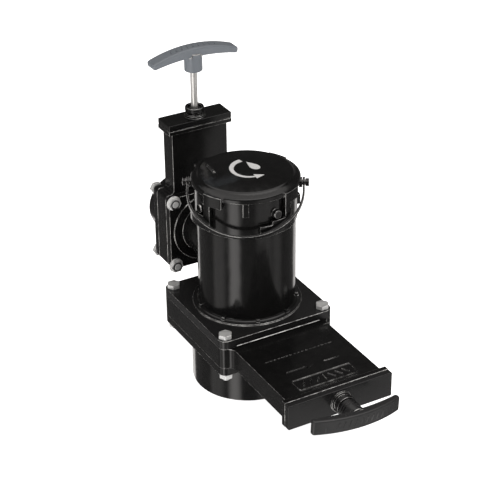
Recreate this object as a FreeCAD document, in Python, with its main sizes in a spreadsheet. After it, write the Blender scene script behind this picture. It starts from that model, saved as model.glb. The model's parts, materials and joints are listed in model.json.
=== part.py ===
import FreeCAD, Part
import math
import os
import types
import Sketcher

# Twin drain gate valve: a three inch tee with a bayonet outlet and cap stands on a large sliding
# gate valve, and a one and a half inch gate valve is bolted to the tee's side branch.
# Frame: millimetres, origin at the centre of the lower hub's mouth, +Z up the main tube,
# -Y the way the large gate pulls out, +Y the way the small branch leaves.

os.makedirs("parts", exist_ok=True)
doc = FreeCAD.newDocument("twin_gate_valve")
sheet = doc.addObject("Spreadsheet::Sheet", "Sizes")
nodes = []


# ---------------------------------------------------------------- sizes and formulas
class Length:
    """A number together with the spreadsheet formula it comes from."""

    def __init__(self, value, formula):
        self.value = float(value)
        self.formula = formula

    def __add__(self, other):
        other = length(other)
        return Length(self.value + other.value, f"({self.formula} + {other.formula})")

    def __sub__(self, other):
        other = length(other)
        return Length(self.value - other.value, f"({self.formula} - {other.formula})")

    def __mul__(self, other):
        other = length(other)
        return Length(self.value * other.value, f"({self.formula} * {other.formula})")

    def __truediv__(self, other):
        other = length(other)
        return Length(self.value / other.value, f"({self.formula} / {other.formula})")

    def __neg__(self):
        return Length(-self.value, f"(-{self.formula})")

    def __radd__(self, other):
        return length(other) + self

    def __rsub__(self, other):
        return length(other) - self

    def __rmul__(self, other):
        return length(other) * self


def length(number):
    """Plain numbers become formulas too."""
    return number if isinstance(number, Length) else Length(number, f"({float(number)})")


def root(square):
    return Length(math.sqrt(square.value), f"sqrt({square.formula})")


def size(alias, value):
    """One driving dimension: a cell with a plain number and a name."""
    size.row += 1
    sheet.set(f"A{size.row}", alias)
    sheet.set(f"B{size.row}", str(value))
    sheet.setAlias(f"B{size.row}", alias)
    return Length(value, "Sizes." + alias)


size.row = 0


def sizes(prefix, **values):
    """The driving dimensions of one sub-assembly, with aliases such as large_bore."""
    return types.SimpleNamespace(**{word: size(f"{prefix}_{word}", value) for word, value in values.items()})


# Pipes and hardware that the valve is made to fit.
main_pipe = size("main_pipe_radius", 44.45)
branch_pipe = size("branch_pipe_radius", 24.13)
slip = size("slip_clearance", 0.15)
shank = size("bolt_shank_radius", 3.175)
hex_flat = size("hex_across_flats", 11.1)
head_high = size("bolt_head_height", 4.2)
washer_r = size("nut_flange_radius", 7.0)
washer_t = size("nut_flange_thickness", 1.2)
bolt_slack = size("bolt_hole_clearance", 0.2)
rod_r = size("rod_radius", 3.175)
rod_fit = size("rod_running_clearance", 0.05)
seal_fit = size("rod_seal_clearance", 0.09)
seat_gap = size("gate_to_seal_gap", 0.3)
seal_slack = size("seal_to_seat_clearance", 0.2)
slot_gap = size("gate_slot_gap", 0.4)

boss_long = size("gate_boss_length", 14.0)
boss_half = size("gate_boss_half_width", 7.5)
boss_gap = size("gate_boss_to_cavity_gap", 0.6)
tail_gap = size("gate_tail_to_lid_gap", 1.0)

# The two gate valves share one design. lip: how far the passage steps in from the outside of its
# pipe, which stops the pipe and holds the seals; lap: how far the gate reaches past the passage;
# seat: space around the gate's tip; spare: free run of the gate's boss beyond its travel;
# opened: how far the gate is pulled out at rest.
large = sizes(
    "large", lip=6.35, lap=3.9, seat=4.0, side_gap=1.3, box_wall=4.2, bolt_out=2.6, post=7.6,
    flange=8.0, thick=20.0, bridge=4.0, spare=10.5, travel=81.0, opened=0.0, web=7.0, rim=5.2,
    rim_side=4.25, rim_over=2.0, gasket=0.5, lid=5.5, gland=9.0, gland_long=9.0, cavity=13.0,
    gate=3.0, nut=5.5, bolt_tail=2.5,
)
small = sizes(
    "small", lip=5.08, lap=4.95, seat=2.0, side_gap=0.8, box_wall=3.7, bolt_out=4.7, post=4.3,
    flange=7.5, thick=18.0, bridge=3.0, spare=15.1, travel=43.5, opened=35.2, web=4.0, rim=4.1,
    rim_side=3.8, rim_over=2.55, gasket=0.6, lid=5.3, gland=8.7, gland_long=9.1, cavity=10.5,
    gate=2.5, nut=4.4, bolt_tail=0.6,
)
for valve, pipe in ((large, main_pipe), (small, branch_pipe)):
    valve.bore = pipe - valve.lip
    valve.gate_r = valve.bore + valve.lap
    valve.slot_half = valve.gate_r + valve.side_gap
    valve.box_half = valve.slot_half + valve.box_wall
    valve.bolt_half = valve.box_half + valve.bolt_out
    valve.cavity_start = valve.gate_r + valve.seat + valve.bridge
    valve.box_end = valve.cavity_start + valve.spare + boss_long + valve.travel + tail_gap
handle = sizes(
    "handle", hub=8.4, hub_long=14.6, bar_half=43.0, bar_wide=14.0, bar_thick=9.0, tip_back=8.0,
    tip_thick=6.0, socket=11.6, gap=0.5, twist=2.8,
)
guide_rib = size("guide_rib_width", 2.4)
recess_r = size("rod_seal_recess_radius", 6.4)
recess_deep = size("rod_seal_recess_depth", 4.6)
rod_seal_t = size("rod_seal_thickness", 2.4)
gland_step = size("gland_base_ring_height", 2.0)

# Lower hub and tee.
hub_r = main_pipe + slip + size("lower_hub_wall", 7.0)
hub_chamfer = size("hub_mouth_chamfer", 0.4)
hub_high = size("lower_hub_height", 44.0)
socket_deep = size("lower_socket_depth", 38.0)
big_face = hub_high + large.flange
tee_foot = big_face + large.thick
tee_plate = tee_foot + large.flange
tube_bore = main_pipe - size("tube_wall", 5.45)
tube_top = tee_plate + size("tube_length", 123.0)
step_r = main_pipe + size("tube_foot_step_width", 5.55)
step_high = size("tube_foot_step_height", 1.2)
collar_r = main_pipe + size("bayonet_collar_step", 1.25)
collar_low = tube_top - size("bayonet_collar_length", 37.0)
prong_r = size("prong_radius", 4.15)
prong_end = collar_r + size("prong_length", 4.3)
prong_z = tube_top - size("prong_depth_below_top", 15.4)
prong_first = size("prong_bearing", 5.3)
prong_chamfer = size("prong_chamfer", 0.6)
gusset_r = main_pipe + size("foot_gusset_reach", 2.45)
gusset_wide = size("foot_gusset_width", 3.0)
gusset_high = size("foot_gusset_height", 3.8)
gusset_first = size("foot_gusset_bearing", 13.0)
gusset_count = 9
index_wide = size("index_rib_width", 5.0)
index_high = size("index_rib_height", 13.0)
index_bearing = size("index_rib_bearing", -119.0)

# Side branch and rear hub of the small valve.
branch_z = tee_plate + size("branch_axis_above_flange", 37.4)
branch_front = main_pipe + size("spigot_length", 34.55)
spigot_r = small.bore + size("spigot_wall", 5.95)
branch_ring_r = spigot_r + size("branch_ring_width", 8.6)
branch_ring_high = size("branch_ring_height", 1.0)
small_face = branch_front + small.flange
rear_face = small_face + small.thick
rear_hub_r = branch_pipe + slip + size("rear_hub_wall", 6.12)
rear_long = size("rear_hub_length", 26.5)
rear_hub_end = rear_face + small.flange + rear_long
rear_socket = size("rear_socket_depth", 23.0)

# Bayonet cap and its four hooks. Heights count from the tube's top, radii from the collar's wall.
cap = sizes(
    "cap", rim=2.9, tab=4.8, arm_in=1.3, crown=-3.0, top=9.1, edge=7.1, shoulder=3.8, tab_low=-8.0,
    rim_low=-1.2, arm_low=-33.0, arm_high=-20.0, lip=1.0, web_angle=8.0, tab_angle=22.0,
    arm_angle=29.0, ramp_drop=3.5, bearing=-76.0, skirt_gap=0.5, seal_gap=0.3, seal_thick=2.2,
    rib_long=16.0, rib_wide=2.0, rib_x=-25.6, rib_y=8.5, rib_bearing=83.0, rib_over=0.3,
)
for word in ("rim", "tab", "arm_in", "crown"):
    setattr(cap, word, collar_r + getattr(cap, word))
for word in ("top", "edge", "shoulder", "tab_low", "rim_low", "arm_low", "arm_high"):
    setattr(cap, word, tube_top + getattr(cap, word))

# Strap on its two pegs; radii count from the collar's wall, the height from the tube's top.
strap = sizes(
    "strap", half=5.6, ear_face=4.2, head_in=7.0, head_out=10.3, height=-4.0, leg=8.7, thick=2.0,
    wide=3.2, eye=4.8, ear=4.6, peg=2.3, fit=0.08, head=3.5, bearing=-31.0, droop=26.2,
)
for word in ("half", "ear_face", "head_in", "head_out"):
    setattr(strap, word, collar_r + getattr(strap, word))
strap.height = tube_top + strap.height

X_AXIS = FreeCAD.Vector(1, 0, 0)
Y_AXIS = FreeCAD.Vector(0, 1, 0)
Z_AXIS = FreeCAD.Vector(0, 0, 1)


# ---------------------------------------------------------------- small building tools
def bind(piece, prop, amount):
    piece.setExpression(prop, length(amount).formula)


def move(piece, x=0, y=0, z=0, turn=None):
    """Place a piece: a fixed turn, and a position tied to the sheet."""
    if turn is not None:
        piece.Placement = FreeCAD.Placement(FreeCAD.Vector(), turn)
    for axis, amount in (("x", x), ("y", y), ("z", z)):
        bind(piece, "Placement.Base." + axis, amount)
    return piece


def keep(piece, name, **place):
    """Make a finished piece a node of the assembly."""
    if place:
        move(piece, **place)
    piece.Label = name
    nodes.append(piece)
    return piece


def block(x, y, z):
    """A box between three (low, high) pairs."""
    piece = doc.addObject("Part::Box", "Block")
    for prop, axis, (low, high) in (("Length", "x", x), ("Width", "y", y), ("Height", "z", z)):
        bind(piece, prop, length(high) - low)
        bind(piece, "Placement.Base." + axis, low)
    return piece


TURNS = {
    "x": FreeCAD.Rotation(Y_AXIS, 90),
    "y": FreeCAD.Rotation(X_AXIS, -90),
    "z": FreeCAD.Rotation(),
}


def round_bar(axis, radius, low, high, x=0, y=0, z=0):
    """A cylinder along an axis, between two places on it."""
    piece = doc.addObject("Part::Cylinder", "Round")
    bind(piece, "Radius", radius)
    bind(piece, "Height", length(high) - low)
    place = {"x": x, "y": y, "z": z}
    place[axis] = low
    return move(piece, turn=TURNS[axis], **place)


def sector(inner, outer, low, high, start, sweep):
    """A piece of a ring about Z, from one bearing through an angle."""
    solids = []
    for radius in (outer, inner):
        piece = doc.addObject("Part::Cylinder", "Sector")
        bind(piece, "Radius", radius)
        bind(piece, "Height", length(high) - low)
        bind(piece, "Placement.Base.z", low)
        solids.append(piece)
    bind(solids[0], "Angle", sweep)
    solids[0].Placement.Rotation = FreeCAD.Rotation(Z_AXIS, length(start).value)
    return cut(solids[0], solids[1:])


def fuse(pieces):
    joined = doc.addObject("Part::MultiFuse", "Joined")
    joined.Shapes = pieces
    joined.Refine = True
    return joined


def cut(base, tools):
    result = doc.addObject("Part::Cut", "Cut")
    result.Base = base
    result.Tool = tools[0] if len(tools) == 1 else fuse(tools)
    result.Refine = True
    return result


def group(pieces):
    """Separate solids kept together in one node."""
    compound = doc.addObject("Part::Compound", "Group")
    compound.Links = pieces
    return compound


def new_body(name):
    return doc.addObject("PartDesign::Body", name.title().replace("_", ""))


def pin_point(sketch, geometry, point, x, y):
    """Tie one point of a sketch to the sheet, or to an axis where its coordinate is zero."""
    for kind, amount, axis in (("DistanceX", x, -2), ("DistanceY", y, -1)):
        if not isinstance(amount, Length) and amount == 0:
            sketch.addConstraint(Sketcher.Constraint("PointOnObject", geometry, point, axis))
            continue
        amount = length(amount)
        number = sketch.addConstraint(Sketcher.Constraint(kind, -1, 1, geometry, point, amount.value))
        sketch.setExpression(f"Constraints[{number}]", amount.formula)


def new_sketch(body, role, lift=0):
    sketch = body.newObject("Sketcher::SketchObject", "Outline")
    plane = next(item for item in body.Origin.OriginFeatures if item.Role == role)
    sketch.AttachmentSupport = [(plane, "")]
    sketch.MapMode = "FlatFace"
    bind(sketch, "AttachmentOffset.Base.z", lift)
    return sketch


def draw(body, role, corners=(), rounds=(), lift=0):
    """A sketch of one closed outline of straight lines and any number of circles."""
    sketch = new_sketch(body, role, lift)
    places = [FreeCAD.Vector(length(x).value, length(y).value, 0) for x, y in corners]
    for start, end in zip(places, places[1:] + places[:1]):
        sketch.addGeometry(Part.LineSegment(start, end), False)
    for index in range(len(places)):
        following = (index + 1) % len(places)
        sketch.addConstraint(Sketcher.Constraint("Coincident", index, 2, following, 1))
    for index, (x, y) in enumerate(corners):
        pin_point(sketch, index, 1, x, y)
    for x, y, radius in rounds:
        centre = FreeCAD.Vector(length(x).value, length(y).value, 0)
        radius = length(radius)
        circle = sketch.addGeometry(Part.Circle(centre, Z_AXIS, radius.value), False)
        number = sketch.addConstraint(Sketcher.Constraint("Radius", circle, radius.value))
        sketch.setExpression(f"Constraints[{number}]", radius.formula)
        pin_point(sketch, circle, 3, x, y)
    return sketch


def rectangle(x_low, x_high, y_low, y_high):
    return [(x_low, y_low), (x_high, y_low), (x_high, y_high), (x_low, y_high)]


def pad(body, sketch, amount):
    feature = body.newObject("PartDesign::Pad", "Pad")
    feature.Profile = (sketch, [""])
    bind(feature, "Length", amount)
    return feature


def pocket(body, sketch, amount):
    """Cut into the solid against the sketch's normal, and make sure that it did cut."""
    doc.recompute()
    before = body.Shape.Volume
    feature = body.newObject("PartDesign::Pocket", "Pocket")
    feature.Profile = (sketch, [""])
    bind(feature, "Length", amount)
    doc.recompute()
    if body.Shape.Volume > before - 1:
        raise ValueError(f"the pocket in {body.Name} cuts nothing")
    return feature


def turned(body, corners):
    """A solid of revolution about Z, from (radius, height) corners."""
    sketch = draw(body, "XZ_Plane", corners)
    feature = body.newObject("PartDesign::Revolution", "Turned")
    feature.Profile = (sketch, [""])
    feature.ReferenceAxis = (sketch, ["V_Axis"])
    feature.Angle = 360
    return feature


def soften(body, radius, wanted, kind="PartDesign::Fillet", prop="Radius"):
    """Round or chamfer the edges that the test picks out."""
    doc.recompute()
    base = body.Tip
    names = [f"Edge{n + 1}" for n, edge in enumerate(base.Shape.Edges) if wanted(edge)]
    feature = body.newObject(kind, "Softened")
    feature.Base = (base, names)
    bind(feature, prop, radius)
    return feature


def along(edge, axis):
    """True for a straight edge parallel to an axis."""
    if edge.Curve.TypeId != "Part::GeomLine":
        return False
    return abs(abs(edge.Curve.Direction.dot(axis)) - 1) < 1e-6


def corner_holes(spacing_half, radius, middle=0):
    low, high = length(middle) - spacing_half, length(middle) + spacing_half
    return [(x, y, radius) for x in (-spacing_half, spacing_half) for y in (low, high)]


def square_plate(v, low, high):
    """Solids of a square plate whose corners are round posts about the bolts."""
    half = v.bolt_half + v.post
    solids = [
        block((-half, half), (-v.bolt_half, v.bolt_half), (low, high)),
        block((-v.bolt_half, v.bolt_half), (-half, half), (low, high)),
    ]
    for x, y, radius in corner_holes(v.bolt_half, v.post):
        solids.append(round_bar("z", radius, low, high, x=x, y=y))
    return solids


def bolt_holes(v, low, high):
    return [round_bar("z", shank + bolt_slack, low, high, x=x, y=y)
            for x, y, _ in corner_holes(v.bolt_half, v.post)]


# ---------------------------------------------------------------- one gate valve, used twice
# Valve frame: bore along Z, body from Z = 0 to its thickness, gate pulled out along -Y.
def place_of(v, pulled=0):
    """Where a valve's own frame sits on the assembly."""
    if v is large:
        return {"y": -length(pulled), "z": big_face, "turn": FreeCAD.Rotation()}
    return {"y": small_face, "z": branch_z + pulled, "turn": FreeCAD.Rotation(X_AXIS, -90)}


def valve_body(v, name):
    """Square body with its seal seat and the long flat box that the gate slides into."""
    middle = v.thick / 2
    solids = square_plate(v, 0, v.thick)
    solids.append(block((-v.box_half, v.box_half), (-v.box_end, -v.bolt_half), (0, v.thick)))
    rim_x, rim_z = v.box_half + v.rim_side, v.rim_over
    solids.append(block((-rim_x, rim_x), (-v.box_end, -(v.box_end - v.rim)), (-rim_z, v.thick + rim_z)))
    centre_x = v.box_half + v.web
    offset = centre_x - v.bolt_half
    reach = v.post + v.web
    centre_y = -(v.bolt_half + root(reach * reach - offset * offset))
    touch = v.bolt_half + offset * v.post / reach
    for side in (-1, 1):
        low, high = sorted((side * (v.box_half - 1), side * touch), key=lambda item: item.value)
        solids.append(cut(
            block((low, high), (centre_y, -v.bolt_half), (0, v.thick)),
            [round_bar("z", v.web, -1, v.thick + 1, x=side * centre_x, y=centre_y)],
        ))
    slot_high = v.gate / 2 + slot_gap
    cavity_half = v.gate_r - guide_rib
    hollow = [
        round_bar("z", v.gate_r + v.seat, -1, v.thick + 1),
        block((-v.slot_half, v.slot_half), (-v.box_end - 1, 0), (middle - slot_high, middle + slot_high)),
        block((-cavity_half, cavity_half), (-v.box_end - 1, -v.cavity_start),
              (middle - v.cavity / 2, middle + v.cavity / 2)),
    ]
    return keep(cut(fuse(solids), hollow + bolt_holes(v, -1, v.thick + 1)), name, **place_of(v))


def seal_ring(v, name, upper):
    """Rubber ring between a flange and the gate, with a narrow wiping lip."""
    outer, lip = v.gate_r + v.seat - seal_slack, v.bore + v.lap / 2
    high = v.thick / 2 - v.gate / 2 - seat_gap
    knee = high * 0.55
    corners = [(v.bore, 0), (outer, 0), (outer, knee), (lip + 1.2, high), (lip - 0.9, high), (v.bore, knee)]
    if upper:
        corners = [(radius, v.thick - height) for radius, height in corners]
    body = new_body(name)
    turned(body, corners)
    return keep(body, name, **place_of(v))


def end_gasket(v, name):
    """Thin frame of rubber between the box's rim and the lid."""
    body = new_body(name)
    middle, side = v.thick / 2, v.slot_half
    outer_x, outer_z = v.box_half + v.rim_side - 0.6, v.thick / 2 + v.rim_over - 0.6
    frame = draw(body, "XZ_Plane", rectangle(-outer_x, outer_x, middle - outer_z, middle + outer_z),
                 lift=v.box_end)
    pad(body, frame, v.gasket)
    doc.recompute()
    opening = draw(body, "XZ_Plane", rectangle(-side, side, middle - v.cavity / 2, middle + v.cavity / 2),
                   lift=v.box_end + v.gasket)
    pocket(body, opening, v.gasket + 1)
    return keep(body, name, **place_of(v))


def end_cap(v, name):
    """Lid over the box's open end, with the gland that the rod runs through."""
    body = new_body(name)
    middle, start = v.thick / 2, v.box_end + v.gasket
    rim_x, rim_z = v.box_half + v.rim_side, v.thick / 2 + v.rim_over
    plate = draw(body, "XZ_Plane", rectangle(-rim_x, rim_x, middle - rim_z, middle + rim_z),
                 [(0, middle, rod_r + rod_fit)], start)
    pad(body, plate, v.lid)
    soften(body, 1.2, lambda edge: along(edge, Y_AXIS))
    soften(body, 0.5, lambda edge: edge.Curve.TypeId == "Part::GeomLine"
           and abs(edge.CenterOfMass.y + (start + v.lid).value) < 1e-6)
    neck = v.gland_long - gland_step - recess_deep
    at = start + v.lid
    for outer, inner, long in ((v.gland + 0.9, rod_r + rod_fit, gland_step),
                               (v.gland - 1.1, rod_r + rod_fit, neck),
                               (v.gland, recess_r, recess_deep)):
        pad(body, draw(body, "XZ_Plane", (), [(0, middle, outer), (0, middle, inner)], at), long)
        at = at + long
    return keep(body, name, **place_of(v))


def rod_seal(v, name):
    body = new_body(name)
    floor = v.box_end + v.gasket + v.lid + v.gland_long - recess_deep
    rings = [(0, v.thick / 2, recess_r - 0.05), (0, v.thick / 2, rod_r + seal_fit)]
    pad(body, draw(body, "XZ_Plane", (), rings, floor), rod_seal_t)
    return keep(body, name, **place_of(v))


def gate_tail(v):
    """How far the closed gate reaches from the bore's axis, so that it still fits when open."""
    return v.box_end - v.travel - tail_gap


def gate_plate(v, name):
    """Flat gate with a half round tip and a boss that holds the rod and its nut."""
    body = new_body(name)
    middle, gate_r, tail = v.thick / 2, v.gate_r, gate_tail(v)
    floor = middle - v.gate / 2
    straight = rectangle(-gate_r, gate_r, -(tail - boss_long / 2), 0)
    pad(body, draw(body, "XY_Plane", straight, lift=floor), v.gate)
    pad(body, draw(body, "XY_Plane", (), [(0, 0, gate_r)], floor), v.gate)
    boss_z = v.cavity / 2 - boss_gap
    boss = rectangle(-boss_half, boss_half, -tail, -(tail - boss_long))
    pad(body, draw(body, "XY_Plane", boss, lift=middle - boss_z), boss_z * 2)
    pocket(body, draw(body, "XZ_Plane", (), [(0, middle, rod_r)], tail), boss_long - 1.5)
    nut_low, nut_high = nut_span(v)
    slot = rectangle(-hex_flat / 2 - 0.1, hex_flat / 2 + 0.1, nut_low - 0.1, nut_high + 0.1)
    pocket(body, draw(body, "XY_Plane", slot, lift=middle + boss_z), boss_z + hex_flat / 2 - 1)
    return keep(body, name, **place_of(v, v.opened))


def nut_span(v):
    tail = gate_tail(v)
    return -(tail - 4), -(tail - 9)


def rod_nut(v, name):
    """Nut held in the gate's boss on the rod's inner end."""
    middle, boss_z = v.thick / 2, v.cavity / 2 - boss_gap
    low, high = nut_span(v)
    flats = hex_flat / 2
    blank = block((-flats, flats), (low, high), (middle - flats + 1.2, middle + boss_z))
    hole = round_bar("y", rod_r, low - 1, high + 1, z=middle)
    return keep(cut(blank, [hole]), name, **place_of(v, v.opened))


def handle_foot(v):
    return v.box_end + v.gasket + v.lid + v.gland_long + handle.gap


def pull_rod(v, name):
    body = new_body(name)
    start = gate_tail(v) - boss_long + 1.5
    end = handle_foot(v) + handle.socket
    pad(body, draw(body, "XZ_Plane", (), [(0, v.thick / 2, rod_r)], start), end - start)
    soften(body, 0.5, lambda edge: edge.Curve.TypeId == "Part::GeomCircle", "PartDesign::Chamfer", "Size")
    return keep(body, name, **place_of(v, v.opened))


def bow(half, sag, crown):
    """Radius and centre height of an arc through its crown and its two ends."""
    radius = (half * half + sag * sag) / (sag * 2)
    return radius, radius - crown


def t_handle(v, name):
    """Bowed bar on a round hub; its own frame has the hub's foot at the origin, bar towards -Y."""
    body = new_body(name)
    outer_crown = handle.hub_long + handle.bar_thick
    outer = bow(handle.bar_half, handle.tip_back, outer_crown)
    inner_sag = handle.tip_back + handle.tip_thick - handle.bar_thick
    inner = bow(handle.bar_half, inner_sag, handle.hub_long)
    sketch = new_sketch(body, "XY_Plane", -handle.bar_wide / 2)
    for radius, centre in (outer, inner):
        spread = math.asin(handle.bar_half.value / radius.value)
        circle = Part.Circle(FreeCAD.Vector(0, centre.value, 0), Z_AXIS, radius.value)
        arc = Part.ArcOfCircle(circle, -math.pi / 2 - spread, -math.pi / 2 + spread)
        index = sketch.addGeometry(arc, False)
        number = sketch.addConstraint(Sketcher.Constraint("Radius", index, radius.value))
        sketch.setExpression(f"Constraints[{number}]", radius.formula)
        pin_point(sketch, index, 3, 0, centre)
        for point, side in ((1, -1), (2, 1)):
            edge = side * handle.bar_half
            number = sketch.addConstraint(Sketcher.Constraint("DistanceX", -1, 1, index, point, edge.value))
            sketch.setExpression(f"Constraints[{number}]", edge.formula)
    for point in (1, 2):
        ends = [sketch.getPoint(arc, point) for arc in (0, 1)]
        line = sketch.addGeometry(Part.LineSegment(*ends), False)
        sketch.addConstraint(Sketcher.Constraint("Coincident", line, 1, 0, point))
        sketch.addConstraint(Sketcher.Constraint("Coincident", line, 2, 1, point))
    pad(body, sketch, handle.bar_wide)
    soften(body, 2.4, lambda edge: along(edge, Z_AXIS))
    face = handle.bar_wide.value / 2
    soften(body, 1.8, lambda edge: abs(abs(edge.CenterOfMass.z) - face) < 1e-6)
    doc.recompute()
    pad(body, draw(body, "XZ_Plane", (), [(0, 0, handle.hub), (0, 0, rod_r)]), handle.socket)
    blind = draw(body, "XZ_Plane", (), [(0, 0, handle.hub)], handle.socket)
    pad(body, blind, handle.hub_long - handle.socket + 3)
    soften(body, 0.8, lambda edge: edge.Curve.TypeId == "Part::GeomCircle"
           and abs(edge.CenterOfMass.y) < 1e-6)
    foot, middle = handle_foot(v), v.thick / 2
    if v is large:
        turn = FreeCAD.Rotation(Y_AXIS, handle.twist.value)
        return keep(body, name, y=-(foot + v.opened), z=big_face + middle, turn=turn)
    turn = FreeCAD.Rotation(X_AXIS, -90)
    return keep(body, name, y=small_face + middle, z=branch_z + foot + v.opened, turn=turn)


def hexagon(low, high, x, y, crowned_up):
    """Hex prism along Z whose outer corners are chamfered."""
    corner = hex_flat / math.sqrt(3)
    prism = doc.addObject("Part::Prism", "Hex")
    prism.Polygon = 6
    bind(prism, "Circumradius", corner)
    bind(prism, "Height", high - low)
    move(prism, x, y, low)
    cone = doc.addObject("Part::Cone", "Crown")
    wide, narrow = corner + (high - low) * 1.6, corner * 0.94
    bind(cone, "Radius1", wide if crowned_up else narrow)
    bind(cone, "Radius2", narrow if crowned_up else wide)
    bind(cone, "Height", high - low)
    move(cone, x, y, low)
    crowned = doc.addObject("Part::Common", "Crowned")
    crowned.Base = prism
    crowned.Tool = cone
    return crowned


def bolts_and_nuts(v, prefix):
    """Four hex bolts through both flanges, each with a flanged nut."""
    top, foot = v.thick + v.flange, -v.flange
    bolts, nuts = [], []
    for x, y, _ in corner_holes(v.bolt_half, v.post):
        tip = foot - v.nut - v.bolt_tail
        head = hexagon(top, top + head_high, x, y, True)
        bolts.append(fuse([head, round_bar("z", shank, tip, top, x=x, y=y)]))
        blank = fuse([hexagon(foot - v.nut, foot - washer_t, x, y, False),
                      round_bar("z", washer_r, foot - washer_t, foot, x=x, y=y)])
        nuts.append(cut(blank, [round_bar("z", shank, foot - v.nut - 1, foot + 1, x=x, y=y)]))
    keep(group(bolts), prefix + "_bolts", **place_of(v))
    keep(group(nuts), prefix + "_nuts", **place_of(v))


def gate_valve(v, prefix):
    valve_body(v, prefix + "_valve_body")
    seal_ring(v, prefix + "_inlet_seal", False)
    seal_ring(v, prefix + "_outlet_seal", True)
    end_gasket(v, prefix + "_end_gasket")
    end_cap(v, prefix + "_end_cap")
    rod_seal(v, prefix + "_rod_seal")
    gate_plate(v, prefix + "_gate")
    rod_nut(v, prefix + "_rod_nut")
    pull_rod(v, prefix + "_rod")
    t_handle(v, prefix + "_handle")
    bolts_and_nuts(v, prefix)


# ---------------------------------------------------------------- hubs
def slip_hub(name, outer, socket, deep, long, throat, **place):
    """Round socket for a glued pipe; its mouth is at Z = 0."""
    body = new_body(name)
    turned(body, [(socket, 0), (outer - hub_chamfer, 0), (outer, hub_chamfer), (outer, long), (throat, long),
                  (throat, deep), (socket, deep)])
    return keep(body, name, **place)


def hub_flange(v, name, long, throat, **place):
    """Square bolting flange that the socket is welded to; the socket's mouth is at Z = 0."""
    body = new_body(name)
    half = v.bolt_half + v.post
    holes = corner_holes(v.bolt_half, shank + bolt_slack)
    plate = draw(body, "XY_Plane", rectangle(-half, half, -half, half), holes + [(0, 0, throat)], long)
    pad(body, plate, v.flange)
    soften(body, v.post, lambda edge: along(edge, Z_AXIS) and abs(edge.CenterOfMass.x) > v.bolt_half.value)
    return keep(body, name, **place)


# ---------------------------------------------------------------- tee
def foot_gussets():
    """Small lugs around the foot of the tube."""
    lugs = []
    for index in range(gusset_count):
        lug = doc.addObject("Part::Box", "Gusset")
        bind(lug, "Length", gusset_r - main_pipe + 2)
        bind(lug, "Width", gusset_wide)
        bind(lug, "Height", gusset_high)
        bearing = math.radians(gusset_first.value + index * 360 / gusset_count)
        out = FreeCAD.Vector(math.cos(bearing), math.sin(bearing), 0)
        turn = FreeCAD.Rotation(Z_AXIS, math.degrees(bearing))
        start, half = main_pipe - 2, gusset_wide / 2
        lugs.append(move(lug, start * out.x + half * out.y, start * out.y - half * out.x, tee_plate, turn))
    return lugs


def prongs():
    """Four round bayonet prongs standing out of the collar."""
    pieces = []
    for index in range(4):
        bearing = math.radians(prong_first.value + 90 * index)
        out = FreeCAD.Vector(math.cos(bearing), math.sin(bearing), 0)
        turn = FreeCAD.Rotation(Z_AXIS, out)
        for kind, low, high in (("Part::Cylinder", tube_bore + 2, prong_end - prong_chamfer),
                                ("Part::Cone", prong_end - prong_chamfer, prong_end)):
            piece = doc.addObject(kind, "Prong")
            bind(piece, "Height", high - low)
            if kind == "Part::Cylinder":
                bind(piece, "Radius", prong_r)
            else:
                bind(piece, "Radius1", prong_r)
                bind(piece, "Radius2", prong_r - prong_chamfer)
            pieces.append(move(piece, low * out.x, low * out.y, prong_z, turn))
    return pieces


def index_rib():
    """Upright rib on the collar that the cap's notch lines up with."""
    rib = doc.addObject("Part::Box", "IndexRib")
    start, half = collar_r - 2, index_wide / 2
    bind(rib, "Length", cap.arm_in - 0.4 - start)
    bind(rib, "Width", index_wide)
    bind(rib, "Height", index_high)
    bearing = math.radians(index_bearing.value)
    out = FreeCAD.Vector(math.cos(bearing), math.sin(bearing), 0)
    turn = FreeCAD.Rotation(Z_AXIS, index_bearing.value)
    return move(rib, start * out.x + half * out.y, start * out.y - half * out.x,
                cap.rim_low - 1 - index_high, turn)


def tee_flange():
    """Square bolting flange with a shallow round step that the tube's foot is welded into."""
    solids = square_plate(large, tee_foot, tee_plate)
    solids.append(round_bar("z", step_r, tee_plate, tee_plate + step_high))
    solids += foot_gussets()
    hollow = [
        round_bar("z", tube_bore, tee_foot - 1, tee_plate + 1),
        round_bar("z", main_pipe, tee_plate, tee_plate + gusset_high + step_high),
    ]
    hollow += bolt_holes(large, tee_foot - 1, tee_plate + 1)
    return keep(cut(fuse(solids), hollow), "tee_flange")


def tee_tube():
    """Upright tube with the round hole of the side branch."""
    hollow = [
        round_bar("z", tube_bore, tee_plate - 1, collar_low + 1),
        round_bar("y", small.bore, 0, main_pipe + 1, z=branch_z),
    ]
    return keep(cut(round_bar("z", main_pipe, tee_plate, collar_low), hollow), "tee_tube")


def bayonet_collar():
    """Thicker top of the tube, with the prongs and the index rib of the cap."""
    solids = [round_bar("z", collar_r, collar_low, tube_top)] + prongs() + [index_rib()]
    bore = round_bar("z", tube_bore, collar_low - 1, tube_top + 1)
    return keep(cut(fuse(solids), [bore]), "bayonet_collar")


def tee_branch():
    """Short spigot saddled on the tube, with the small valve's square flange."""
    solids = [round_bar("y", spigot_r, tube_bore - 12, small_face, z=branch_z)]
    half = small.bolt_half + small.post
    low, high = branch_z - half, branch_z + half
    reach = (branch_front, small_face)
    solids.append(block((-half, half), reach, (low + small.post, high - small.post)))
    solids.append(block((-small.bolt_half, small.bolt_half), reach, (low, high)))
    for x, z, radius in corner_holes(small.bolt_half, small.post, branch_z):
        solids.append(round_bar("y", radius, *reach, x=x, z=z))
    solids.append(round_bar("y", branch_ring_r, branch_front - branch_ring_high, branch_front, z=branch_z))
    hollow = [
        round_bar("z", main_pipe, tee_plate, collar_low),
        round_bar("y", small.bore, 0, small_face + 1, z=branch_z),
    ]
    for x, z, radius in corner_holes(small.bolt_half, shank + bolt_slack, branch_z):
        hollow.append(round_bar("y", radius, branch_front - 2, small_face + 1, x=x, z=z))
    return keep(cut(fuse(solids), hollow), "tee_branch")


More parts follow.
